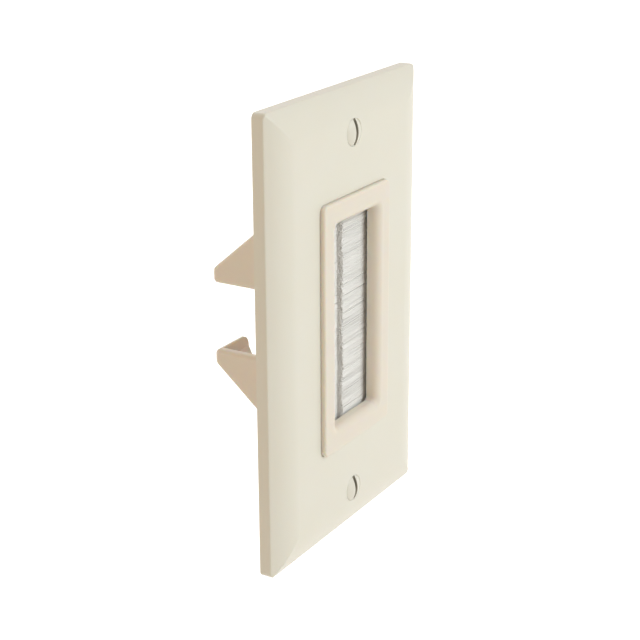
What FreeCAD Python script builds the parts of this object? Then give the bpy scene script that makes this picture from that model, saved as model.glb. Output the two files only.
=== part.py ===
import FreeCAD, Part
import math
import os
import Sketcher
from FreeCAD import Vector

# Brush cable grommet: a crowned wall plate, a moulded insert with a brushed window, and its screws.
# X runs to the right seen from the front, Y runs back into the wall and Z runs up.
# The origin is the centre of the plate's back, so the wall's surface is Y = 0.

doc = FreeCAD.newDocument("brush_cable_grommet")

SIZES = {
    # wall plate: 73.0 wide and 119.1 high, from its opening outwards
    "opening_width": 33.3,
    "opening_height": 66.7,
    "opening_corner_radius": 1.9,
    "opening_rim_wall": 1.5,
    "plate_side_band": 19.85,
    "plate_end_margin": 11.13,
    "plate_depth": 6.2,
    "plate_edge_depth": 3.15,
    "plate_crown_run": 9.0,
    "plate_corner_radius": 1.5,
    "plate_edge_radius": 0.4,
    "plate_wall": 2.0,
    "plate_rib_wall": 1.2,
    "plate_rib_spacing": 40.0,
    # plate screws, 96.84 apart, and their holes
    "plate_screw_margin": 15.07,
    "screw_boss_radius": 4.4,
    "screw_hole_diameter": 4.0,
    "countersink_diameter": 7.3,
    "countersink_angle": 82.0,
    "screw_head_diameter": 7.0,
    "screw_dome_height": 1.1,
    "screw_shank_diameter": 3.5,
    "screw_length": 12.7,
    "screw_tip_chamfer": 0.5,
    "screw_slot_width": 1.1,
    "screw_slot_depth": 1.3,
    "screw_fit": 0.05,
    # insert: bezel and window
    "insert_clearance": 0.15,
    "bezel_proud": 1.37,
    "bezel_edge_radius": 0.5,
    "bezel_front_wall": 2.2,
    "window_side_band": 5.9,
    "window_end_band": 6.1,
    "window_corner_radius": 1.2,
    "window_edge_radius": 2.0,
    "collar_wall": 1.6,
    # insert: seat for the brushes
    "seat_wall": 1.3,
    "seat_end_wall": 1.6,
    "seat_ledge": 0.5,
    "hook_width": 5.0,
    "hook_spacing": 22.0,
    "hook_reach": 0.9,
    "hook_thickness": 0.9,
    "hook_lead_in": 0.5,
    # insert: strap, with its box screws 83.34 apart
    "strap_thickness": 2.4,
    "strap_width": 20.0,
    "strap_corner_radius": 2.0,
    "strap_gap": 0.1,
    "base_side_lap": 1.85,
    "base_end_lap": 3.85,
    "ear_side_lap": 0.35,
    "ear_end_margin": 4.78,
    "ear_height": 8.8,
    "box_screw_margin": 8.32,
    "box_hole_diameter": 4.4,
    # insert: cable-guide wings
    "wing_side_lap": 0.75,
    "wing_end_lap": 1.68,
    "wing_wall": 2.0,
    "wing_depth": 25.55,
    "wing_gap": 18.1,
    "wing_tip_height": 3.88,
    "ramp_wall": 1.5,
    "ramp_gap": 7.1,
    "ramp_foot_depth": 6.6,
    "ramp_corner_radius": 2.8,
    "tip_rim_radius": 1.25,
    "tip_slope_radius": 1.8,
    "wing_edge_radius": 1.1,
    # strip brushes
    "channel_width": 2.6,
    "channel_depth": 3.8,
    "channel_mouth_depth": 3.0,
    "channel_sheet": 0.4,
    "channel_end_gap": 0.2,
    "channel_side_gap": 0.1,
    "core_wire_diameter": 0.9,
    "core_wire_inset": 1.2,
    "bristle_gap": 0.08,
    "bristle_end_inset": 0.4,
    "bristle_tip_thickness": 1.0,
    "bristle_tip_overlap": 1.1,
    "bristle_tip_shift": 0.75,
}

sheet = doc.addObject("Spreadsheet::Sheet", "sizes")
for row, (alias, size) in enumerate(SIZES.items(), start=1):
    sheet.set(f"A{row}", alias)
    sheet.set(f"B{row}", str(size))
    sheet.setAlias(f"B{row}", alias)
doc.recompute()

# Sizes that follow from the sheet, in its own terms.
PLATE_WIDTH = "(sizes.opening_width + 2 * sizes.plate_side_band)"
PLATE_SCREW_SPACING = "(sizes.opening_height + 2 * sizes.plate_screw_margin)"
BOX_SCREW_SPACING = "(sizes.opening_height + 2 * sizes.box_screw_margin)"
PLATE_HEIGHT = f"({PLATE_SCREW_SPACING} + 2 * sizes.plate_end_margin)"
STRAP_HEIGHT = f"({PLATE_SCREW_SPACING} + 2 * sizes.ear_end_margin)"
BASE_WIDTH = "(sizes.opening_width + 2 * sizes.base_side_lap)"
BASE_HEIGHT = "(sizes.opening_height + 2 * sizes.base_end_lap)"
EAR_WIDTH = "(sizes.opening_width + 2 * sizes.ear_side_lap)"
BEZEL_FRONT = "(sizes.plate_depth + sizes.bezel_proud)"
BEZEL_WIDTH = "(sizes.opening_width - 2 * sizes.insert_clearance)"
BEZEL_HEIGHT = "(sizes.opening_height - 2 * sizes.insert_clearance)"
BEZEL_RADIUS = "(sizes.opening_corner_radius - sizes.insert_clearance)"
WINDOW_WIDTH = f"({BEZEL_WIDTH} - 2 * sizes.window_side_band)"
WINDOW_HEIGHT = f"({BEZEL_HEIGHT} - 2 * sizes.window_end_band)"
COLLAR_WIDTH = f"({WINDOW_WIDTH} + 2 * sizes.collar_wall)"
COLLAR_HEIGHT = f"({WINDOW_HEIGHT} + 2 * sizes.collar_wall)"
COLLAR_RADIUS = "(sizes.window_corner_radius + sizes.collar_wall)"
SEAT_WIDTH = f"({BEZEL_WIDTH} - 2 * sizes.seat_wall)"
SEAT_HEIGHT = f"({BEZEL_HEIGHT} - 2 * sizes.seat_end_wall)"
CHANNEL_BACK = f"({SEAT_WIDTH} / 2 - sizes.channel_side_gap)"
CHANNEL_MOUTH = f"({CHANNEL_BACK} - sizes.channel_width)"
SEAT_DEPTH = "(sizes.channel_depth + 2 * sizes.channel_side_gap)"
CHANNEL_CENTRE = f"(-{SEAT_DEPTH} / 2)"
CHANNEL_LENGTH = f"({SEAT_HEIGHT} - 2 * sizes.channel_end_gap)"
BOSS_FOOT = "(sizes.strap_thickness + sizes.strap_gap)"
PLATE_INNER = "(sizes.plate_depth - sizes.plate_wall)"
RIM_SINK = f"({PLATE_INNER} + sizes.plate_wall / 2)"
WING_SIDE = "(sizes.opening_width / 2 + sizes.wing_side_lap)"
WING_ROOT = "(sizes.opening_height / 2 + sizes.wing_end_lap)"
WING_SLOPE = f"(({WING_ROOT} - sizes.wing_gap / 2 - sizes.wing_tip_height) / sizes.wing_depth)"
# The rim stays thinner than the ramp it rounds, and the outer edges finer than the rim.
RIM_RADIUS = "min(sizes.tip_rim_radius; sizes.ramp_wall / 1.2)"
WING_EDGE_RADIUS = f"min(sizes.wing_edge_radius; 0.88 * {RIM_RADIUS})"


def size_of(expression):
    """The value of an expression on the sheet, in millimetres."""
    return float(sheet.evalExpression(expression.replace("sizes.", "")))


def new_body(label):
    body = doc.addObject("PartDesign::Body", label)
    body.Label = label
    return body


def new_sketch(body, name, role, offset=None):
    """A sketch on one of the body's own origin planes, moved along the plane's normal."""
    sketch = body.newObject("Sketcher::SketchObject", name)
    plane = next(feature for feature in body.Origin.OriginFeatures if feature.Role == role)
    sketch.AttachmentSupport = [(plane, "")]
    sketch.MapMode = "FlatFace"
    if offset:
        sketch.setExpression("AttachmentOffset.Base.z", offset)
    return sketch


def bind(sketch, kind, *ends_and_expression):
    """Add a dimension to a sketch and bind it to the sheet."""
    *ends, expression = ends_and_expression
    index = sketch.addConstraint(Sketcher.Constraint(kind, *ends, size_of(expression)))
    sketch.setExpression(f"Constraints[{index}]", expression)


def add_outline(sketch, points, arcs=None):
    """A closed outline through points, with straight sides or, where arcs says so, round ones.

    arcs holds, for the side that starts at a point, its radius and the side it bulges to:
    1 is left of the way the outline runs and -1 is right of it.
    """
    arcs = arcs or {}
    places = [Vector(size_of(across), size_of(up), 0) for across, up in points]
    count = len(places)
    sides = []
    starts = []
    for index in range(count):
        start, end = places[index], places[(index + 1) % count]
        if index in arcs:
            radius, bulge = size_of(arcs[index][0]), arcs[index][1]
            chord = end - start
            left = Vector(-chord.y, chord.x, 0).normalize()
            rise = radius - math.sqrt(radius ** 2 - chord.Length ** 2 / 4)
            middle = (start + end) / 2 + left * (rise * bulge)
            arc = Part.Arc(start, middle, end)
            side = sketch.addGeometry(arc)
            forward = sketch.getPoint(side, 1).distanceToPoint(start) < 1e-6
            bind(sketch, "Radius", side, arcs[index][0])
        else:
            side = sketch.addGeometry(Part.LineSegment(start, end))
            forward = True
        sides.append(side)
        starts.append((1, 2) if forward else (2, 1))
    for index in range(count):
        after = (index + 1) % count
        sketch.addConstraint(Sketcher.Constraint(
            "Coincident", sides[index], starts[index][1], sides[after], starts[after][0]))
    for index, (across, up) in enumerate(points):
        bind(sketch, "DistanceX", -1, 1, sides[index], starts[index][0], across)
        bind(sketch, "DistanceY", -1, 1, sides[index], starts[index][0], up)


def add_rectangle(sketch, width, height, radius=None, middle=("0", "0")):
    """A rectangle about its middle point, with round corners if it is given their radius."""
    across, up = middle
    left, right = f"{across} - {width} / 2", f"{across} + {width} / 2"
    low, high = f"{up} - {height} / 2", f"{up} + {height} / 2"
    if radius is None:
        add_outline(sketch, [(left, low), (right, low), (right, high), (left, high)])
        return
    points = [(f"{left} + {radius}", low), (f"{right} - {radius}", low),
              (right, f"{low} + {radius}"), (right, f"{high} - {radius}"),
              (f"{right} - {radius}", high), (f"{left} + {radius}", high),
              (left, f"{high} - {radius}"), (left, f"{low} + {radius}")]
    corners = {index: (radius, -1) for index in (1, 3, 5, 7)}
    add_outline(sketch, points, corners)


def add_circle(sketch, radius, middle):
    across, up = middle
    circle = sketch.addGeometry(
        Part.Circle(Vector(size_of(across), size_of(up), 0), Vector(0, 0, 1), size_of(radius)))
    bind(sketch, "Radius", circle, radius)
    bind(sketch, "DistanceX", -1, 1, circle, 3, across)
    bind(sketch, "DistanceY", -1, 1, circle, 3, up)


def pad(body, name, sketch, length, side="One side", reverse=False):
    feature = body.newObject("PartDesign::Pad", name)
    feature.Profile = sketch
    feature.SideType = side
    feature.Reversed = reverse
    feature.setExpression("Length", length)
    return feature


def pocket(body, name, sketch, length, side="One side", reverse=False):
    feature = body.newObject("PartDesign::Pocket", name)
    feature.Profile = sketch
    feature.SideType = side
    feature.Reversed = reverse
    feature.setExpression("Length", length)
    return feature


def cut(body, name, sketch, length, side="One side", reverse=False):
    """A pocket that is checked to take something away."""
    doc.recompute()
    before = body.Shape.Volume
    pocket(body, name, sketch, length, side, reverse)
    doc.recompute()
    if body.Shape.Volume >= before:
        raise RuntimeError(f"{name} cuts nothing")


def edges_where(feature, test):
    """The names of a feature's edges whose middle and direction pass a test."""
    names = []
    for number, edge in enumerate(feature.Shape.Edges, start=1):
        first, last = edge.ParameterRange
        middle = edge.valueAt((first + last) / 2)
        along = edge.tangentAt((first + last) / 2)
        if test(middle, along):
            names.append(f"Edge{number}")
    return names


def round_edges(body, name, radius, test):
    doc.recompute()
    base = body.Tip
    names = edges_where(base, test)
    if not names:
        raise RuntimeError(f"{name} finds no edge")
    feature = body.newObject("PartDesign::Fillet", name)
    feature.Base = (base, names)
    feature.setExpression("Radius", radius)
    doc.recompute()
    return feature


def near(value, target, slack=0.01):
    return abs(value - target) < slack


def wall_plate():
    """The thin moulding: a block with a crown down each side, shelled from the back."""
    body = new_body("wall_plate")
    outline = new_sketch(body, "plate_outline", "XZ_Plane")
    add_rectangle(outline, PLATE_WIDTH, PLATE_HEIGHT)
    pad(body, "plate_block", outline, "sizes.plate_depth")

    rise = "(sizes.plate_depth - sizes.plate_edge_depth)"
    radius = f"((sizes.plate_crown_run ^ 2 + {rise} ^ 2) / (2 * {rise}))"
    past = "(sizes.plate_depth + 1)"
    crowns = []
    for name, role, width, length in (
            ("crown_sides", "XY_Plane", PLATE_WIDTH, PLATE_HEIGHT),
            ("crown_ends", "YZ_Plane", PLATE_HEIGHT, PLATE_WIDTH)):
        sketch = new_sketch(body, f"{name}_profile", role)
        for way in (1, -1):
            edge = f"({way} * {width} / 2)"
            flat = f"({way} * ({width} / 2 - sizes.plate_crown_run))"
            beyond = f"({way} * ({width} / 2 + 1))"
            points = [(edge, "-sizes.plate_edge_depth"), (flat, "-sizes.plate_depth"),
                      (flat, f"-{past}"), (beyond, f"-{past}"),
                      (beyond, "-sizes.plate_edge_depth")]
            if role == "YZ_Plane":
                points = [(up, across) for across, up in points]
            turn = way if role == "XY_Plane" else -way
            add_outline(sketch, points, {0: (radius, turn)})
        cut(body, name, sketch, f"{length} + 2", side="Symmetric")
        crowns.append((name, sketch, f"{length} + 2"))

    back = next(f"Face{number}" for number, face in enumerate(body.Shape.Faces, start=1)
                if near(face.CenterOfMass.y, 0))
    block = body.Tip
    shell = body.newObject("PartDesign::Thickness", "plate_shell")
    shell.Base = (block, [back])
    shell.Reversed = True
    shell.Join = "Arc"
    shell.setExpression("Value", "sizes.plate_wall")
    doc.recompute()

    rim = new_sketch(body, "opening_rim_outline", "XZ_Plane", BOSS_FOOT)
    add_rectangle(rim, "(sizes.opening_width + 2 * sizes.opening_rim_wall)",
                  "(sizes.opening_height + 2 * sizes.opening_rim_wall)",
                  "(sizes.opening_corner_radius + sizes.opening_rim_wall)")
    pad(body, "opening_rim", rim, f"{RIM_SINK} - {BOSS_FOOT}")

    bosses = new_sketch(body, "screw_boss_outline", "XZ_Plane", BOSS_FOOT)
    for way in ("", "-"):
        add_circle(bosses, "sizes.screw_boss_radius", ("0", f"{way}{PLATE_SCREW_SPACING} / 2"))
    pad(body, "screw_bosses", bosses, f"{RIM_SINK} - {BOSS_FOOT}")

    ribs = new_sketch(body, "rib_outline", "XZ_Plane", BOSS_FOOT)
    side_start = "(sizes.opening_width / 2 + sizes.opening_rim_wall / 2)"
    side_length = f"({PLATE_WIDTH} / 2 - sizes.plate_wall / 2 - {side_start})"
    for way in (1, -1):
        for level in (1, -1):
            add_rectangle(ribs, side_length, "sizes.plate_rib_wall", middle=(
                f"{way} * ({side_start} + {side_length} / 2)",
                f"{level} * sizes.plate_rib_spacing / 2"))
    end_start = "(sizes.opening_height / 2 + sizes.opening_rim_wall / 2)"
    end_length = f"({PLATE_HEIGHT} / 2 - sizes.plate_wall / 2 - {end_start})"
    for way in (1, -1):
        add_rectangle(ribs, "sizes.plate_rib_wall", end_length, middle=(
            "0", f"{way} * ({end_start} + {end_length} / 2)"))
    pad(body, "plate_ribs", ribs, f"{RIM_SINK} - {BOSS_FOOT}")
    for name, sketch, length in crowns:
        pocket(body, f"{name}_rib_trim", sketch, length, side="Symmetric")

    opening = new_sketch(body, "opening_outline", "XZ_Plane")
    add_rectangle(opening, "sizes.opening_width", "sizes.opening_height",
                  "sizes.opening_corner_radius")
    cut(body, "opening", opening, "sizes.plate_depth + 1", reverse=True)

    holes = new_sketch(body, "screw_hole_centres", "XZ_Plane", "sizes.plate_depth")
    for way in ("", "-"):
        add_circle(holes, "sizes.screw_hole_diameter / 2", ("0", f"{way}{PLATE_SCREW_SPACING} / 2"))
    doc.recompute()
    before = body.Shape.Volume
    screw_holes = body.newObject("PartDesign::Hole", "screw_holes")
    screw_holes.Profile = holes
    screw_holes.DepthType = "ThroughAll"
    screw_holes.HoleCutType = "Countersink"
    screw_holes.HoleCutCustomValues = True
    screw_holes.setExpression("Diameter", "sizes.screw_hole_diameter")
    screw_holes.setExpression("HoleCutDiameter", "sizes.countersink_diameter")
    screw_holes.setExpression("HoleCutCountersinkAngle", "sizes.countersink_angle")
    doc.recompute()
    if body.Shape.Volume >= before:
        raise RuntimeError("screw_holes cut nothing")

    half_width, half_height = size_of(PLATE_WIDTH) / 2, size_of(PLATE_HEIGHT) / 2
    edge, front = -size_of("sizes.plate_edge_depth"), -size_of("sizes.plate_depth")
    skin = size_of("sizes.plate_wall / 2")

    def on_outer_edge(middle):
        in_skin = abs(middle.x) > half_width - skin or abs(middle.z) > half_height - skin
        return in_skin and edge - skin < middle.y < edge + 0.01

    def on_mitre(middle):
        diagonal = near(half_width - abs(middle.x), half_height - abs(middle.z), 0.05)
        return diagonal and middle.y < (edge + front) / 2
    round_edges(body, "plate_corners", "sizes.plate_corner_radius", lambda middle, along:
                near(abs(middle.x), half_width) and near(abs(middle.z), half_height)
                and abs(along.y) > 0.9)
    round_edges(body, "plate_edge", "sizes.plate_edge_radius", lambda middle, along:
                on_outer_edge(middle) or on_mitre(middle))
    return body


def insert_frame():
    """One moulding: strap, bezel with its window, brush seat, hooks and four wings."""
    body = new_body("insert_frame")
    base = new_sketch(body, "base_outline", "XZ_Plane")
    add_rectangle(base, BASE_WIDTH, BASE_HEIGHT, "sizes.strap_corner_radius")
    pad(body, "base", base, "sizes.strap_thickness")
    strap = new_sketch(body, "strap_outline", "XZ_Plane")
    add_rectangle(strap, "sizes.strap_width", STRAP_HEIGHT, "sizes.strap_corner_radius")
    pad(body, "strap", strap, "sizes.strap_thickness")
    ears = new_sketch(body, "ear_outline", "XZ_Plane")
    for way in ("", "-"):
        add_rectangle(ears, EAR_WIDTH, "sizes.ear_height", "sizes.strap_corner_radius",
                      middle=("0", f"{way}({STRAP_HEIGHT} / 2 - sizes.ear_height / 2)"))
    pad(body, "ears", ears, "sizes.strap_thickness")

    bezel = new_sketch(body, "bezel_outline", "XZ_Plane")
    add_rectangle(bezel, BEZEL_WIDTH, BEZEL_HEIGHT, BEZEL_RADIUS)
    pad(body, "bezel", bezel, BEZEL_FRONT)
    window = new_sketch(body, "window_outline", "XZ_Plane")
    add_rectangle(window, WINDOW_WIDTH, WINDOW_HEIGHT, "sizes.window_corner_radius")
    cut(body, "window", window, f"{BEZEL_FRONT} + 1", reverse=True)
    seat = new_sketch(body, "seat_outline", "XZ_Plane")
    add_rectangle(seat, SEAT_WIDTH, SEAT_HEIGHT)
    cut(body, "brush_seat", seat, SEAT_DEPTH, reverse=True)
    core = new_sketch(body, "coring_outline", "XZ_Plane", SEAT_DEPTH)
    add_rectangle(core, f"({SEAT_WIDTH} - 2 * sizes.seat_ledge)",
                  f"({SEAT_HEIGHT} - 2 * sizes.seat_ledge)", COLLAR_RADIUS)
    add_rectangle(core, COLLAR_WIDTH, COLLAR_HEIGHT, COLLAR_RADIUS)
    cut(body, "coring", core, f"{BEZEL_FRONT} - sizes.bezel_front_wall - {SEAT_DEPTH}",
        reverse=True)

    holes = new_sketch(body, "strap_hole_outline", "XZ_Plane")
    for way in ("", "-"):
        add_circle(holes, "(sizes.screw_shank_diameter / 2 + sizes.screw_fit)",
                   ("0", f"{way}{PLATE_SCREW_SPACING} / 2"))
        add_circle(holes, "sizes.box_hole_diameter / 2", ("0", f"{way}{BOX_SCREW_SPACING} / 2"))
    cut(body, "strap_holes", holes, "sizes.strap_thickness + 1", reverse=True)

    tip_near = "(sizes.wing_gap / 2)"
    tip_far = "(sizes.wing_gap / 2 + sizes.wing_tip_height)"
    lean = f"(sizes.ramp_wall * sqrt(1 + {WING_SLOPE} ^ 2))"
    inner_tip = "(sizes.wing_depth - sizes.ramp_wall)"
    panel_inside = f"({WING_SIDE} - sizes.wing_wall)"
    half_gap = "(sizes.ramp_gap / 2)"
    wings = new_sketch(body, "wing_outline", "YZ_Plane")
    hollows = new_sketch(body, "wing_hollow_outline", "YZ_Plane")
    for way in ("", "-"):
        add_outline(wings, [
            ("0", f"{way}{tip_near}"),
            ("sizes.wing_depth", f"{way}{tip_near}"),
            ("sizes.wing_depth", f"{way}{tip_far}"),
            ("0", f"{way}{WING_ROOT}")])
        add_outline(hollows, [
            ("0", f"{way}{tip_near}"),
            (inner_tip, f"{way}{tip_near}"),
            (inner_tip, f"{way}({tip_far} + sizes.ramp_wall * {WING_SLOPE} - {lean})"),
            ("0", f"{way}({WING_ROOT} - {lean})")])
    pad(body, "wings", wings, f"2 * {WING_SIDE}", side="Symmetric")
    depth, near_tip, far_tip = size_of("sizes.wing_depth"), size_of(tip_near), size_of(tip_far)
    round_edges(body, "slope_corners", "sizes.tip_slope_radius", lambda middle, along:
                near(middle.y, depth) and near(abs(middle.z), far_tip) and abs(along.x) > 0.9)
    round_edges(body, "rim_corners", RIM_RADIUS, lambda middle, along:
                near(middle.y, depth) and near(abs(middle.z), near_tip) and abs(along.x) > 0.9)
    cut(body, "wing_hollows", hollows, f"2 * {panel_inside}", side="Symmetric")

    between = new_sketch(body, "ramp_gap_outline", "XY_Plane")
    add_outline(between, [
        (f"-{panel_inside}", "0"), (panel_inside, "0"),
        (panel_inside, "sizes.ramp_foot_depth"), (half_gap, inner_tip),
        (half_gap, "sizes.wing_depth + 1"), (f"-{half_gap}", "sizes.wing_depth + 1"),
        (f"-{half_gap}", inner_tip), (f"-{panel_inside}", "sizes.ramp_foot_depth")])
    cut(body, "gap_between_ramps", between, f"2 * {WING_ROOT}", side="Symmetric")
    corners = new_sketch(body, "ramp_corner_outline", "XZ_Plane")
    for way in (1, -1):
        for level in (1, -1):
            add_outline(corners, [
                (f"{way} * {half_gap}", f"{level} * {tip_near}"),
                (f"{way} * ({half_gap} + sizes.ramp_corner_radius)", f"{level} * {tip_near}"),
                (f"{way} * {half_gap}", f"{level} * ({tip_near} + sizes.ramp_corner_radius)")],
                {1: ("sizes.ramp_corner_radius", way * level)})
    cut(body, "ramp_corners", corners, "sizes.wing_depth + 1")

    hooks = new_sketch(body, "hook_outline", "XZ_Plane")
    hook_start = f"({SEAT_WIDTH} / 2 - sizes.hook_reach)"
    hook_length = f"({WING_SIDE} - sizes.wing_wall / 2 - {hook_start})"
    for way in (1, -1):
        for level in (-1, 0, 1):
            add_rectangle(hooks, hook_length, "sizes.hook_width", middle=(
                f"{way} * ({hook_start} + {hook_length} / 2)", f"{level} * sizes.hook_spacing"))
    hook_pad = pad(body, "hooks", hooks, "sizes.hook_thickness", reverse=True)
    doc.recompute()
    hook_tip, hook_back = size_of(hook_start), size_of("sizes.hook_thickness")
    lead_ins = body.newObject("PartDesign::Chamfer", "hook_lead_ins")
    lead_ins.Base = (hook_pad, edges_where(hook_pad, lambda middle, along:
                     near(abs(middle.x), hook_tip) and near(middle.y, hook_back)))
    lead_ins.setExpression("Size", "sizes.hook_lead_in")

    wing_side, front = size_of(WING_SIDE), -size_of(BEZEL_FRONT)
    round_edges(body, "wing_edges", WING_EDGE_RADIUS, lambda middle, along:
                near(abs(middle.x), wing_side) and middle.y > 1)
    window_reach = size_of(WINDOW_WIDTH) / 2, size_of(WINDOW_HEIGHT) / 2
    round_edges(body, "window_edge", "sizes.window_edge_radius", lambda middle, along:
                near(middle.y, front) and abs(middle.x) < window_reach[0] + 0.01
                and abs(middle.z) < window_reach[1] + 0.01)
    round_edges(body, "bezel_edge", "sizes.bezel_edge_radius", lambda middle, along:
                near(middle.y, front) and (abs(middle.x) > window_reach[0] + 2
                                           or abs(middle.z) > window_reach[1] + 2))
    return body


def brush_channel(label, way):
    """A strip folded into a trough whose mouth is crimped towards the middle of the window."""
    body = new_body(label)
    profile = new_sketch(body, f"{label}_profile", "XY_Plane")
    back, mouth = f"{way} * {CHANNEL_BACK}", f"{way} * {CHANNEL_MOUTH}"
    inner = f"{way} * ({CHANNEL_BACK} - sizes.channel_sheet)"
    deep, shallow = "sizes.channel_depth / 2", "sizes.channel_mouth_depth / 2"
    add_outline(profile, [
        (mouth, f"{CHANNEL_CENTRE} - {shallow}"),
        (back, f"{CHANNEL_CENTRE} - {deep}"),
        (back, f"{CHANNEL_CENTRE} + {deep}"),
        (mouth, f"{CHANNEL_CENTRE} + {shallow}"),
        (mouth, f"{CHANNEL_CENTRE} + {shallow} - sizes.channel_sheet"),
        (inner, f"{CHANNEL_CENTRE} + {deep} - sizes.channel_sheet"),
        (inner, f"{CHANNEL_CENTRE} - {deep} + sizes.channel_sheet"),
        (mouth, f"{CHANNEL_CENTRE} - {shallow} + sizes.channel_sheet")])
    pad(body, f"{label}_fold", profile, CHANNEL_LENGTH, side="Symmetric")
    return body


def bristle_pack(label, way, shift):
    """The filaments of one brush, folded round the wire and lying across to the middle."""
    body = new_body(label)
    profile = new_sketch(body, f"{label}_profile", "XY_Plane")
    root = f"{way} * ({CHANNEL_BACK} - sizes.channel_sheet - sizes.bristle_gap)"
    mouth = f"{way} * {CHANNEL_MOUTH}"
    tip = f"{way} * -sizes.bristle_tip_overlap"
    deep = "(sizes.channel_depth / 2 - sizes.channel_sheet - 2 * sizes.bristle_gap)"
    shallow = "(sizes.channel_mouth_depth / 2 - sizes.channel_sheet - sizes.bristle_gap)"
    level = f"({CHANNEL_CENTRE} + {shift} * sizes.bristle_tip_shift)"
    thin = "sizes.bristle_tip_thickness / 2"
    add_outline(profile, [
        (root, f"{CHANNEL_CENTRE} - {deep}"), (mouth, f"{CHANNEL_CENTRE} - {shallow}"),
        (tip, f"{level} - {thin}"), (tip, f"{level} + {thin}"),
        (mouth, f"{CHANNEL_CENTRE} + {shallow}"), (root, f"{CHANNEL_CENTRE} + {deep}")])
    add_circle(profile, "(sizes.core_wire_diameter / 2)",
               (f"{way} * ({CHANNEL_BACK} - sizes.core_wire_inset)", CHANNEL_CENTRE))
    pad(body, f"{label}_filaments", profile, f"{CHANNEL_LENGTH} - 2 * sizes.bristle_end_inset",
        side="Symmetric")
    return body


def core_wire(label, way):
    """The straight wire that the filaments are folded round."""
    wire = doc.addObject("Part::Cylinder", label)
    wire.Label = label
    wire.setExpression("Radius", "sizes.core_wire_diameter / 2")
    wire.setExpression("Height", CHANNEL_LENGTH)
    wire.setExpression("Placement.Base.x", f"{way} * ({CHANNEL_BACK} - sizes.core_wire_inset)")
    wire.setExpression("Placement.Base.y", CHANNEL_CENTRE)
    wire.setExpression("Placement.Base.z", f"-{CHANNEL_LENGTH} / 2")
    return wire


def plate_screw(label, way):
    """An oval-head slotted screw, turned about its own axis and set in its countersink."""
    body = new_body(label)
    taper = "tan(sizes.countersink_angle / 2)"
    sink = ("((sizes.countersink_diameter - sizes.screw_head_diameter) / 2"
            f" / {taper} - sizes.screw_fit)")
    rim = f"(-sizes.plate_depth + {sink})"
    head, shank = "sizes.screw_head_diameter / 2", "sizes.screw_shank_diameter / 2"
    neck = f"({rim} + ({head} - {shank}) / {taper})"
    end = f"({rim} + sizes.screw_length)"
    dome = (f"((({head}) ^ 2 + sizes.screw_dome_height ^ 2)"
            " / (2 * sizes.screw_dome_height))")
    profile = new_sketch(body, f"{label}_profile", "XY_Plane")
    add_outline(profile, [
        ("0", f"{rim} - sizes.screw_dome_height"), (head, rim), (shank, neck),
        (shank, f"{end} - sizes.screw_tip_chamfer"),
        (f"{shank} - sizes.screw_tip_chamfer", end), ("0", end)], {0: (dome, -1)})
    turned = body.newObject("PartDesign::Revolution", f"{label}_turned")
    turned.Profile = profile
    turned.ReferenceAxis = (profile, ["V_Axis"])
    turned.Angle = 360
    doc.recompute()
    slot = new_sketch(body, f"{label}_slot_outline", "XZ_Plane",
                      f"-{rim} + sizes.screw_dome_height")
    add_rectangle(slot, "sizes.screw_slot_width", "(sizes.screw_head_diameter + 1)")
    cut(body, f"{label}_slot", slot, "sizes.screw_slot_depth")
    body.setExpression("Placement.Base.z", f"{way} * {PLATE_SCREW_SPACING} / 2")
    return body


parts = [
    wall_plate(),
    insert_frame(),
    brush_channel("brush_channel_left", -1),
    brush_channel("brush_channel_right", 1),
    bristle_pack("bristle_pack_left", -1, 1),
    bristle_pack("bristle_pack_right", 1, -1),
    core_wire("core_wire_left", -1),
    core_wire("core_wire_right", 1),
    plate_screw("plate_screw_top", 1),
    plate_screw("plate_screw_bottom", -1),
]
doc.recompute()

for item in doc.Objects:
    if {"Invalid", "Error"} & set(item.State):
        raise RuntimeError(f"{item.Name} is {item.State}")
for part in parts:
    if part.Shape.isNull() or not part.Shape.isValid() or not part.Shape.Solids:
        raise RuntimeError(f"{part.Label} has no valid solid")

os.makedirs("parts", exist_ok=True)
for part in parts:
    part.Shape.exportStep(f"parts/{part.Label}.step")
    print(part.Label, round(part.Shape.Volume, 1), len(part.Shape.Solids), len(part.Shape.Faces))
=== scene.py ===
import math
import random

import bpy
from mathutils import Matrix, Vector


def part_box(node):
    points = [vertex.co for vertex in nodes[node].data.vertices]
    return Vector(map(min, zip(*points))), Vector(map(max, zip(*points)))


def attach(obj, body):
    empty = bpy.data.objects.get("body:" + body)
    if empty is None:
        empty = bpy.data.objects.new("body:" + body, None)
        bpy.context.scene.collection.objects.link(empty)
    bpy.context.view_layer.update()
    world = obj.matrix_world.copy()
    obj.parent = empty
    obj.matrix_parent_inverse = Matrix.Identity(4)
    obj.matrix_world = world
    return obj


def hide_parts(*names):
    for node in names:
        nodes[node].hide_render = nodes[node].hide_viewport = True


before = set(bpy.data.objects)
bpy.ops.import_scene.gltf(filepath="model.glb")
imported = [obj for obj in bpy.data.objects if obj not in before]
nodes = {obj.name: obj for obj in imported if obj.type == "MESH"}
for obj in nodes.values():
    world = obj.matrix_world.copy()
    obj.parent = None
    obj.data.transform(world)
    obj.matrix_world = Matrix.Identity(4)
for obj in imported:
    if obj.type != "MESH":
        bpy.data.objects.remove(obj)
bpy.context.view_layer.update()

# Brush cable grommet for a one-gang wall box, in light-almond thermoplastic.
# X is to the right seen from the front, Y goes back into the wall and Z is up, in metres.

# Camera, in front of the plate, well to its left and a little above it, with a long lens. Its
# place, turn and lens were fitted to the edges of the part in the photograph.
MM = 0.001
CAMERA_PLACE = Vector((-331.94, -196.31, 136.37)) * MM
CAMERA_FORWARD = Vector((0.8060, 0.4863, -0.3374)).normalized()
CAMERA_ROLL = math.radians(-0.312)
FOCAL_PIXELS = 1579.6
PHOTO_PIXELS = 640
SENSOR_MM = 36.0

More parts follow.
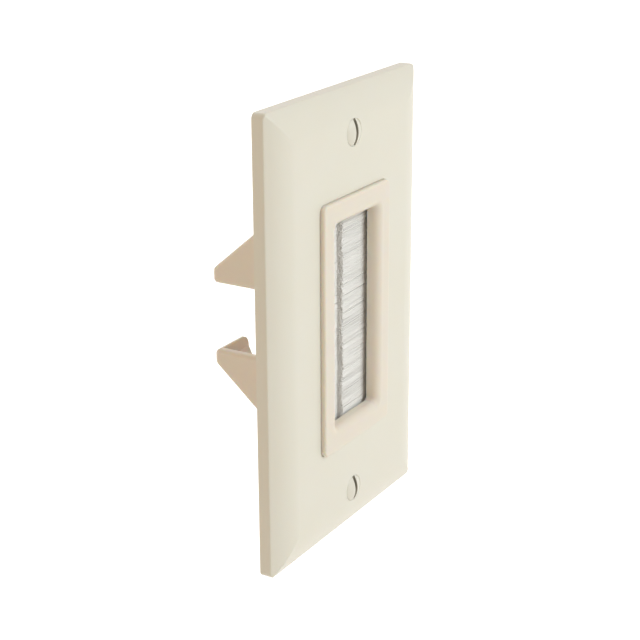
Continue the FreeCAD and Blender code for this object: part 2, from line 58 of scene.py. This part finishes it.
camera = bpy.data.objects.new("camera", bpy.data.cameras.new("camera"))
bpy.context.scene.collection.objects.link(camera)
camera.data.sensor_width = SENSOR_MM
camera.data.lens = FOCAL_PIXELS / PHOTO_PIXELS * SENSOR_MM
camera.data.clip_start = 10 * MM
camera.data.clip_end = 20.0
level_right = CAMERA_FORWARD.cross(Vector((0, 0, 1))).normalized()
level_up = level_right.cross(CAMERA_FORWARD)
right = math.cos(CAMERA_ROLL) * level_right + math.sin(CAMERA_ROLL) * level_up
up = math.cos(CAMERA_ROLL) * level_up - math.sin(CAMERA_ROLL) * level_right
turned = Matrix((right, up, -CAMERA_FORWARD)).transposed()
camera.matrix_world = Matrix.Translation(CAMERA_PLACE) @ turned.to_4x4()
bpy.context.scene.camera = camera


# Insert, one injection moulding in almond thermoplastic, a shade warmer than the plate: strap,
# bezel, window collar, brush seat and four cable-guide wings. Its ears lie on the lugs of the wall
# box and are screwed to them.
def linear(code):
    """An sRGB hex colour as the linear colour that a shader takes."""
    shares = [int(code[at:at + 2], 16) / 255 for at in (0, 2, 4)]
    return [share / 12.92 if share <= 0.04045 else ((share + 0.055) / 1.055) ** 2.4
            for share in shares] + [1.0]


def add_node(tree, kind, settings=None, sockets=None, links=None):
    """A shader node with its settings, its plain socket values and what feeds its sockets."""
    node = tree.nodes.new(kind)
    for name, value in (settings or {}).items():
        setattr(node, name, value)
    for name, value in (sockets or {}).items():
        node.inputs[name].default_value = value
    for name, source in (links or {}).items():
        tree.links.new(source, node.inputs[name])
    return node


def new_material(name):
    """An empty material, with its tree and its output node."""
    material = bpy.data.materials.new(name)
    material.use_nodes = True
    material.node_tree.nodes.clear()
    return material, material.node_tree, add_node(material.node_tree, "ShaderNodeOutputMaterial")


def dress(piece, material):
    """Gives every face of a piece or CAD node one material."""
    piece.data.materials.clear()
    piece.data.materials.append(material)


# Moulded thermoplastic gives the eye an even, milky colour with a soft satin sheen, and light that
# sinks into it glows warm at thin walls. Its tint and gloss drift slowly, in clouds some 18 mm
# across, as the melt flowed. The mould's spark-eroded grain is about 0.05 mm; it is drawn at
# 0.35 mm, as coarse as it needs to be to show.
CLOUD_SIZE = 18 * MM
GRAIN_SIZE = 0.35 * MM
GRAIN_DEPTH = 0.02 * MM
GLOW_REACH = 1.4 * MM


def moulded_plastic(name, colour, warmer, glow):
    """Moulded plastic between two tints; glow is the share of its light that sinks in."""
    material, tree, output = new_material(name)
    place = add_node(tree, "ShaderNodeTexCoord").outputs["Object"]
    clouds = add_node(tree, "ShaderNodeTexNoise", sockets={"Scale": 1 / CLOUD_SIZE, "Detail": 3.0},
                      links={"Vector": place})
    tint = add_node(tree, "ShaderNodeMix", {"data_type": "RGBA"},
                    {"A": linear(colour), "B": linear(warmer)}, {"Factor": clouds.outputs["Fac"]})
    grain = add_node(tree, "ShaderNodeTexNoise", sockets={"Scale": 1 / GRAIN_SIZE, "Detail": 2.0},
                     links={"Vector": place})
    relief = add_node(tree, "ShaderNodeBump", sockets={"Strength": 0.06, "Distance": GRAIN_DEPTH},
                      links={"Height": grain.outputs["Fac"]})
    sheen = add_node(tree, "ShaderNodeMapRange", sockets={"To Min": 0.36, "To Max": 0.44},
                     links={"Value": clouds.outputs["Fac"]})
    plastic = add_node(tree, "ShaderNodeBsdfPrincipled",
                       sockets={"IOR": 1.5, "Subsurface Weight": glow,
                                "Subsurface Radius": (1.0, 0.7, 0.4),
                                "Subsurface Scale": GLOW_REACH},
                       links={"Base Color": tint.outputs["Result"],
                              "Roughness": sheen.outputs["Result"],
                              "Normal": relief.outputs["Normal"]})
    tree.links.new(plastic.outputs["BSDF"], output.inputs["Surface"])
    return material


dress(nodes["insert_frame"],
      moulded_plastic("moulded_insert_thermoplastic", "ECE4D8", "ECE3D4", 0.7))

# Brush channels and core wires. Each brush is held by a strip of aluminium, folded to a trough and
# crimped on bristles that are doubled round a steel wire. The insert's hooks keep the channels in
# their seat.
STRIP_LINES = 0.12 * MM
WIRE_LINES = 0.06 * MM
LINE_DEPTH = 0.01 * MM
LINE_STRETCH = 60
LINE_SHADE = 0.8


# Rolled aluminium is pale and mirrors softly, in streaks along the strip. Drawn steel is greyer and
# gleams in the lines of its die. Real lines lie about 0.02 and 0.01 mm apart; these are drawn six
# times as coarse, so that they show.
def drawn_metal(name, colour, line_spacing, roughness):
    """Bare metal with fine lines along Z, where its rolls or its die have dragged."""
    material, tree, output = new_material(name)
    place = add_node(tree, "ShaderNodeTexCoord").outputs["Object"]
    across = 1 / line_spacing
    stretched = add_node(tree, "ShaderNodeMapping",
                         sockets={"Scale": (across, across, across / LINE_STRETCH)},
                         links={"Vector": place})
    lines = add_node(tree, "ShaderNodeTexNoise", sockets={"Scale": 1.0, "Detail": 3.0},
                     links={"Vector": stretched.outputs["Vector"]})
    tint = add_node(tree, "ShaderNodeValToRGB", links={"Fac": lines.outputs["Fac"]})
    tint.color_ramp.elements[0].color = [share * LINE_SHADE for share in linear(colour)[:3]] + [1.0]
    tint.color_ramp.elements[1].color = linear(colour)
    sheen = add_node(tree, "ShaderNodeMapRange",
                     sockets={"To Min": roughness - 0.06, "To Max": roughness + 0.08},
                     links={"Value": lines.outputs["Fac"]})
    relief = add_node(tree, "ShaderNodeBump", sockets={"Strength": 0.12, "Distance": LINE_DEPTH},
                      links={"Height": lines.outputs["Fac"]})
    metal = add_node(tree, "ShaderNodeBsdfPrincipled", sockets={"Metallic": 1.0},
                     links={"Base Color": tint.outputs["Color"],
                            "Roughness": sheen.outputs["Result"],
                            "Normal": relief.outputs["Normal"]})
    tree.links.new(metal.outputs["BSDF"], output.inputs["Surface"])
    return material


rolled_strip = drawn_metal("rolled_aluminium_strip", "D6D7D6", STRIP_LINES, 0.34)
drawn_wire = drawn_metal("drawn_steel_wire", "B9B8B4", WIRE_LINES, 0.28)
for side in ("left", "right"):
    dress(nodes[f"brush_channel_{side}"], rolled_strip)
    dress(nodes[f"core_wire_{side}"], drawn_wire)

# Bristles of natural nylon, doubled round the wire and gripped by the channel. They lie straight
# across the window in a packed mass, their cut tips end in an uneven line, and a few stray. The
# right brush's tips pass in front of the left brush's, a little past the middle.
BRISTLES = 3200
BRISTLE_RADIUS = 0.095 * MM
ROOT_INSET = 0.6 * MM
MOUTH_THICKNESS = 1.9 * MM
GOLDEN_SHARE = 0.618034
LAYER_JITTER = 0.1
TUFT_PITCH = 1.4 * MM
TUFT_GATHER = 0.06
BOW = 0.04 * MM
TIP_DRIFT = 0.05 * MM
STRAY_DRIFT = 0.6 * MM
STRAY_CHANCE = 0.012
TIP_SLANT = 1.4 * MM
TIP_LAP = 0.5 * MM
TIP_WAVE = 0.32 * MM
TIP_WAVE_LENGTHS = (9 * MM, 26 * MM)
TIP_SCATTER = 0.3 * MM
BUNDLE_RADIUS = 0.33 * MM
BUNDLE_PITCH = 0.5 * MM
BUNDLE_START = 1.5 * BUNDLE_RADIUS
BUNDLE_END_INSET = 0.6 * MM
BUNDLE_TIP_SHARE = 0.3
RUN_POINTS = 5

# Natural nylon is milky and almost white, and each bristle gleams softly along its length. Bristle
# differs from bristle by a shade; the streaks that show it are drawn 0.5 mm wide, because single
# bristles are too fine to show.
STREAK_SIZE = (9 * MM, 1.0 * MM, 0.5 * MM)


def natural_nylon():
    """Natural nylon filament, in faint streaks along the bristles."""
    material, tree, output = new_material("natural_nylon_filament")
    place = add_node(tree, "ShaderNodeTexCoord").outputs["Object"]
    along = add_node(tree, "ShaderNodeMapping",
                     sockets={"Scale": tuple(1 / size for size in STREAK_SIZE)},
                     links={"Vector": place})
    streaks = add_node(tree, "ShaderNodeTexNoise", sockets={"Scale": 1.0, "Detail": 4.0},
                       links={"Vector": along.outputs["Vector"]})
    tint = add_node(tree, "ShaderNodeValToRGB", links={"Fac": streaks.outputs["Fac"]})
    tint.color_ramp.elements[0].position = 0.3
    tint.color_ramp.elements[0].color = linear("F4F2EF")
    tint.color_ramp.elements[1].position = 0.7
    tint.color_ramp.elements[1].color = linear("FBF9F5")
    nylon = add_node(tree, "ShaderNodeBsdfPrincipled", sockets={"Roughness": 0.45, "IOR": 1.53},
                     links={"Base Color": tint.outputs["Color"]})
    tree.links.new(nylon.outputs["BSDF"], output.inputs["Surface"])
    return material


def bristle_run(start, tip, middle, tip_thickness, shift, loose, draw):
    """The points of one bristle from inside the channel to its tip, as it lies when unloaded.

    A loose one gathers towards its tuft and may stray. From the channel to its tips the brush comes
    to tip_thickness and moves along Y by shift, which lets one brush pass in front of the other.
    """
    tuft = round(start.z / TUFT_PITCH) * TUFT_PITCH
    gather = draw.uniform(0.0, TUFT_GATHER) * loose
    bow = draw.gauss(0, BOW)
    drift = draw.gauss(0, STRAY_DRIFT if draw.random() < STRAY_CHANCE * loose else TIP_DRIFT)
    points = []
    for step in range(RUN_POINTS):
        share = step / (RUN_POINTS - 1)
        pull = (tuft - start.z) * gather * share ** 1.5
        sway = bow * math.sin(math.pi * share) + drift * share ** 2
        thin = 1 - (1 - tip_thickness / MOUTH_THICKNESS) * share
        points.append(Vector((start.x + (tip - start.x) * share,
                              middle + (start.y - middle) * thin + shift * share,
                              start.z + pull + sway)))
    return points


def straight_lines(name, runs):
    """A curve object with a line of straight stretches through each run of points, made active."""
    curve = bpy.data.curves.new(name, "CURVE")
    curve.dimensions = "3D"
    for run in runs:
        spline = curve.splines.new("POLY")
        spline.points.add(len(run) - 1)
        for point, place in zip(spline.points, run):
            point.co = (*place, 1.0)
    lines = bpy.data.objects.new(name, curve)
    bpy.context.scene.collection.objects.link(lines)
    bpy.ops.object.select_all(action="DESELECT")
    lines.select_set(True)
    bpy.context.view_layer.objects.active = lines
    return lines


def add_bristles(name, runs, radius, tip_share):
    """One mesh of round bristles with cut ends, each as thick at its tip as tip_share says."""
    lines = straight_lines(name, runs)
    lines.data.bevel_depth = radius
    lines.data.bevel_resolution = 1
    lines.data.use_fill_caps = True
    for spline in lines.data.splines:
        spline.points[-1].radius = tip_share
    bpy.ops.object.convert(target="MESH")
    bpy.ops.object.shade_smooth()
    return bpy.context.object


nylon = natural_nylon()
for side, way, seed, tip_thickness, tip_shift in (("left", -1, 40, 1.1 * MM, 0.75 * MM),
                                                  ("right", 1, 42, 2.0 * MM, -0.3 * MM)):
    low, high = (Vector(corner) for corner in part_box(f"bristle_pack_{side}"))
    middle = (low.y + high.y) / 2
    draw = random.Random(seed)
    root, tips = (high.x, low.x) if way > 0 else (low.x, high.x)
    root -= way * ROOT_INSET
    # Each brush's cut waves, laps past the solid's end and slants, with its front to the right.
    # Single tips fall short of it.
    waves = [(draw.uniform(*TIP_WAVE_LENGTHS), draw.uniform(0, math.tau)) for _ in range(3)]
    runs = []
    for count in range(BRISTLES):
        height = low.z + (high.z - low.z) * (count + draw.random()) / BRISTLES
        layer = (count * GOLDEN_SHARE + LAYER_JITTER * draw.random()) % 1 - 0.5
        wave = sum(math.sin(math.tau * height / length + phase) for length, phase in waves) / 3
        tip = tips + way * (TIP_WAVE * wave - way * layer * TIP_SLANT - TIP_LAP
                            + abs(draw.gauss(0, TIP_SCATTER)))
        start = Vector((root, middle + layer * MOUTH_THICKNESS, height))
        runs.append(bristle_run(start, tip, middle, tip_thickness, tip_shift, 1, draw))
    bristles = add_bristles(f"bristles_{side}", runs, BRISTLE_RADIUS, 1.0)

    # Thicker bundles fill the middle of the brush, where single bristles don't show.
    core_runs = []
    for count in range(round((high.z - low.z - 2 * BUNDLE_RADIUS) / BUNDLE_PITCH)):
        start = Vector((root, middle, low.z + BUNDLE_START + BUNDLE_PITCH * count))
        tip = tips + way * (BUNDLE_END_INSET + abs(draw.gauss(0, TIP_SCATTER)))
        core_runs.append(bristle_run(start, tip, middle, tip_thickness, tip_shift, 0, draw))
    add_bristles(f"bristle_core_{side}", core_runs, BUNDLE_RADIUS, BUNDLE_TIP_SHARE)
    bristles.select_set(True)
    bpy.context.view_layer.objects.active = bristles
    bpy.ops.object.join()
    dress(bristles, nylon)
    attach(bristles, "root")
    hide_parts(f"bristle_pack_{side}")

# Wall plate, one thin thermoplastic moulding in light almond, crowned in front and hollow behind.
# It goes over the insert's bezel, and its rim, bosses and ribs stop just short of the strap.
dress(nodes["wall_plate"],
      moulded_plastic("moulded_plate_thermoplastic", "E8E5D9", "E8E3D4", 0.12))

# Plate screws, two number 6 oval-heads of plated steel that draw the plate to the insert. The head
# is stamped, slotted and baked with enamel to match the plate, and the thread is rolled, 32 turns
# to the inch.
SCREW_LENGTH = 12.7 * MM
DOME_HEIGHT = 1.1 * MM
DOME_STEPS = 7
HEAD_RADIUS = 3.48 * MM
CONE_HALF_ANGLE = math.radians(41)
SLOT_SIZE = (1.1 * MM, 2.6 * MM, 9.0 * MM)
EDGE_EASE = 0.06 * MM
CREASE_ANGLE = math.radians(35)
THREAD_RADIUS = 1.75 * MM
CORE_RADIUS = 1.37 * MM
POINT_RADIUS = 1.3 * MM
POINT_LENGTH = 0.5 * MM
THREAD_PITCH = 25.4 / 32 * MM
FLANK_STEEPNESS = 1.4
THREAD_START = 0.2 * MM
FADE_IN = 0.9 * MM
FADE_OUT = 0.7 * MM
BARE_POINT = 0.45 * MM
RING_STEP = THREAD_PITCH / 8
TURN_STEPS = 40
MERGE_DISTANCE = 0.002 * MM
ENAMEL_WRAP = 0.1 * MM
FACE_SLACK = 0.02 * MM
ZINC_CLOUD_SIZE = 1.5 * MM


def plated_steel():
    """Zinc-plated steel: a grey, slightly cloudy metal with a soft, rolled gloss.

    The clouds in the zinc are drawn at their real size, about 1.5 mm.
    """
    material, tree, output = new_material("zinc_plated_steel_and_slot_shade")
    place = add_node(tree, "ShaderNodeTexCoord").outputs["Object"]
    clouds = add_node(tree, "ShaderNodeTexNoise",
                      sockets={"Scale": 1 / ZINC_CLOUD_SIZE, "Detail": 3.0}, links={"Vector": place})
    tint = add_node(tree, "ShaderNodeMix", {"data_type": "RGBA"},
                    {"A": linear("9C978B"), "B": linear("B4AFA2")}, {"Factor": clouds.outputs["Fac"]})
    sheen = add_node(tree, "ShaderNodeMapRange", sockets={"To Min": 0.38, "To Max": 0.52},
                     links={"Value": clouds.outputs["Fac"]})
    zinc = add_node(tree, "ShaderNodeBsdfPrincipled", sockets={"Metallic": 1.0},
                    links={"Base Color": tint.outputs["Result"],
                           "Roughness": sheen.outputs["Result"]})
    tree.links.new(zinc.outputs["BSDF"], output.inputs["Surface"])
    return material


def turned_blank(name, top, tip, level):
    """A screw with neither slot nor thread, spun from its half section, and the depth of its neck."""
    ball = (HEAD_RADIUS ** 2 + DOME_HEIGHT ** 2) / (2 * DOME_HEIGHT)
    edge = math.asin(HEAD_RADIUS / ball)
    turns = [edge * step / DOME_STEPS for step in range(DOME_STEPS + 1)]
    dome = [(ball * math.sin(turn), top + ball * (1 - math.cos(turn))) for turn in turns]
    neck = top + DOME_HEIGHT + (HEAD_RADIUS - THREAD_RADIUS) / math.tan(CONE_HALF_ANGLE)
    rings = int((tip - POINT_LENGTH - neck) / RING_STEP)
    shank = [(THREAD_RADIUS, neck + RING_STEP * ring) for ring in range(rings)]
    point = [(THREAD_RADIUS, tip - POINT_LENGTH), (POINT_RADIUS, tip), (0, tip)]
    straight_lines(name, [[(radius, depth, level) for radius, depth in dome + shank + point]])
    bpy.ops.object.convert(target="MESH")
    bpy.ops.object.mode_set(mode="EDIT")
    bpy.ops.mesh.select_all(action="SELECT")
    bpy.ops.mesh.spin(steps=TURN_STEPS, angle=math.tau, center=(0, 0, level), axis=(0, 1, 0))
    bpy.ops.mesh.select_all(action="SELECT")
    bpy.ops.mesh.remove_doubles(threshold=MERGE_DISTANCE)
    bpy.ops.mesh.normals_make_consistent(inside=False)
    bpy.ops.object.mode_set(mode="OBJECT")
    return bpy.context.object, neck


def slot_head(screw, top, level):
    """Saws the slot across the head, upright, and eases its edges and the head's rim."""
    bpy.ops.mesh.primitive_cube_add(size=1.0, location=(0, top, level))
    saw = bpy.context.object
    saw.scale = SLOT_SIZE
    bpy.ops.object.transform_apply(location=True, rotation=True, scale=True)
    screw.select_set(True)
    bpy.context.view_layer.objects.active = screw
    slotting = screw.modifiers.new("slot", "BOOLEAN")
    slotting.operation = "DIFFERENCE"
    slotting.solver = "EXACT"
    slotting.object = saw
    bpy.ops.object.modifier_apply(modifier="slot")
    bpy.data.objects.remove(saw)
    easing = screw.modifiers.new("edges", "BEVEL")
    easing.limit_method = "ANGLE"
    easing.angle_limit = CREASE_ANGLE
    easing.width = EDGE_EASE
    easing.segments = 2
    bpy.ops.object.modifier_apply(modifier="edges")


def roll_thread(screw, neck, tip, level):
    """Presses the thread into the shank: a ridge that climbs one pitch a turn and fades out."""
    for corner in screw.data.vertices:
        place = corner.co
        fade = min((place.y - neck) / FADE_IN, (tip - BARE_POINT - place.y) / FADE_OUT, 1)
        if place.y <= neck + THREAD_START or fade <= 0:
            continue
        turn = math.atan2(place.z - level, place.x) / math.tau
        ridge = 1 - abs(2 * (((place.y - neck) / THREAD_PITCH - turn) % 1) - 1)
        height = min(max(FLANK_STEEPNESS * (ridge - 0.5) + 0.5, 0), 1) * fade
        radius = CORE_RADIUS + (THREAD_RADIUS - CORE_RADIUS) * height
        share = radius / math.hypot(place.x, place.z - level)
        place.x *= share
        place.z = level + (place.z - level) * share


# The baked enamel has the plate's almond and its satin sheen. It is opaque, so no light glows
# through it as through the plate.
enamel = moulded_plastic("baked_almond_enamel", "E8E5D9", "E8E3D4", 0.0)
plating_and_slot_shade = plated_steel()
for end in ("top", "bottom"):
    low, high = (Vector(corner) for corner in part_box(f"plate_screw_{end}"))
    level = (low.z + high.z) / 2
    top = high.y - SCREW_LENGTH - DOME_HEIGHT
    screw, neck = turned_blank(f"screw_{end}", top, high.y, level)
    slot_head(screw, top, level)
    roll_thread(screw, neck, high.y, level)

    # The enamel covers the dome and the head's rim. The plating shows behind.
    dress(screw, enamel)
    screw.data.materials.append(plating_and_slot_shade)
    slot_floor = top + SLOT_SIZE[1] / 2
    enamel_end = top + DOME_HEIGHT + ENAMEL_WRAP
    # The slot's walls and floor also take the darker plated steel, as painted shade in the slot.
    for face in screw.data.polygons:
        in_slot = (abs(face.center.x) < (SLOT_SIZE[0] + FACE_SLACK) / 2
                   and abs(face.normal.x) > 0.9)
        on_floor = abs(face.center.y - slot_floor) < FACE_SLACK
        face.material_index = int(in_slot or on_floor or face.center.y > enamel_end)
    bpy.ops.object.shade_smooth_by_angle(angle=CREASE_ANGLE)
    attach(screw, "root")
    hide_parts(f"plate_screw_{end}")

# Floor and light: white paper well below the part, a large soft key in front and above, a warm
# fill behind on the left and a cool one behind on the right. The sky lights the part dimly and
# warmly, and shows white in the picture and in what the part mirrors.
FLOOR_DROP = 160 * MM
FLOOR_SIZE = 8.0
FLOOR_GLOW = 0.8
SKY_LEVEL = 0.49
bpy.context.scene.view_settings.view_transform = "Standard"


def rays_that_show(tree):
    """1 for rays that show what they meet, also by mirroring or through glass, and 0 for others."""
    ray = add_node(tree, "ShaderNodeLightPath")
    seen = add_node(tree, "ShaderNodeMath", {"operation": "MAXIMUM"},
                    links={0: ray.outputs["Is Camera Ray"], 1: ray.outputs["Is Glossy Ray"]})
    seen_through = add_node(tree, "ShaderNodeMath", {"operation": "MAXIMUM"}, links={
        0: seen.outputs["Value"], 1: ray.outputs["Is Transmission Ray"]})
    return seen_through.outputs["Value"]


# The paper is matt. It glows only for the rays that show it, which keeps it white in the picture
# without more light on the part.
bpy.ops.mesh.primitive_plane_add(size=FLOOR_SIZE, location=(0, 0, -FLOOR_DROP))
floor = bpy.context.object
floor.name = "floor"
paper, tree, output = new_material("white_paper_sweep")
glow_level = add_node(tree, "ShaderNodeMath", {"operation": "MULTIPLY"}, {1: FLOOR_GLOW},
                      {0: rays_that_show(tree)})
matt = add_node(tree, "ShaderNodeBsdfDiffuse", sockets={"Color": linear("F4F3F0")})
glow = add_node(tree, "ShaderNodeEmission", sockets={"Color": (1, 1, 1, 1)},
                links={"Strength": glow_level.outputs["Value"]})
both = add_node(tree, "ShaderNodeAddShader",
                links={0: matt.outputs["BSDF"], 1: glow.outputs["Emission"]})
tree.links.new(both.outputs["Shader"], output.inputs["Surface"])
dress(floor, paper)

world = bpy.data.worlds.new("studio")
bpy.context.scene.world = world
world.use_nodes = True
tree = world.node_tree
tree.nodes.clear()
room = add_node(tree, "ShaderNodeBackground",
                sockets={"Color": linear("FFEFDC"), "Strength": SKY_LEVEL})
white = add_node(tree, "ShaderNodeBackground", sockets={"Color": (1, 1, 1, 1), "Strength": 1.0})
sky = add_node(tree, "ShaderNodeMixShader", links={
    0: rays_that_show(tree), 1: room.outputs["Background"], 2: white.outputs["Background"]})
add_node(tree, "ShaderNodeOutputWorld", links={"Surface": sky.outputs["Shader"]})

for name, place, size, watts, colour in (
        ("key_light", (0.25, -1.15, 0.7), 1.1, 9.9, "E7F6FF"),
        ("rear_left_fill", (-0.7, 0.75, 0.3), 1.0, 1.25, "FFE3BC"),
        ("rear_right_fill", (0.55, 1.0, 0.6), 1.0, 4.2, "E9F1FF")):
    lamp = bpy.data.objects.new(name, bpy.data.lights.new(name, "AREA"))
    bpy.context.scene.collection.objects.link(lamp)
    lamp.data.shape = "DISK"
    lamp.data.size = size
    lamp.data.energy = watts
    lamp.data.color = linear(colour)[:3]
    lamp.location = place
    lamp.rotation_euler = (-Vector(place)).to_track_quat("-Z", "Y").to_euler()
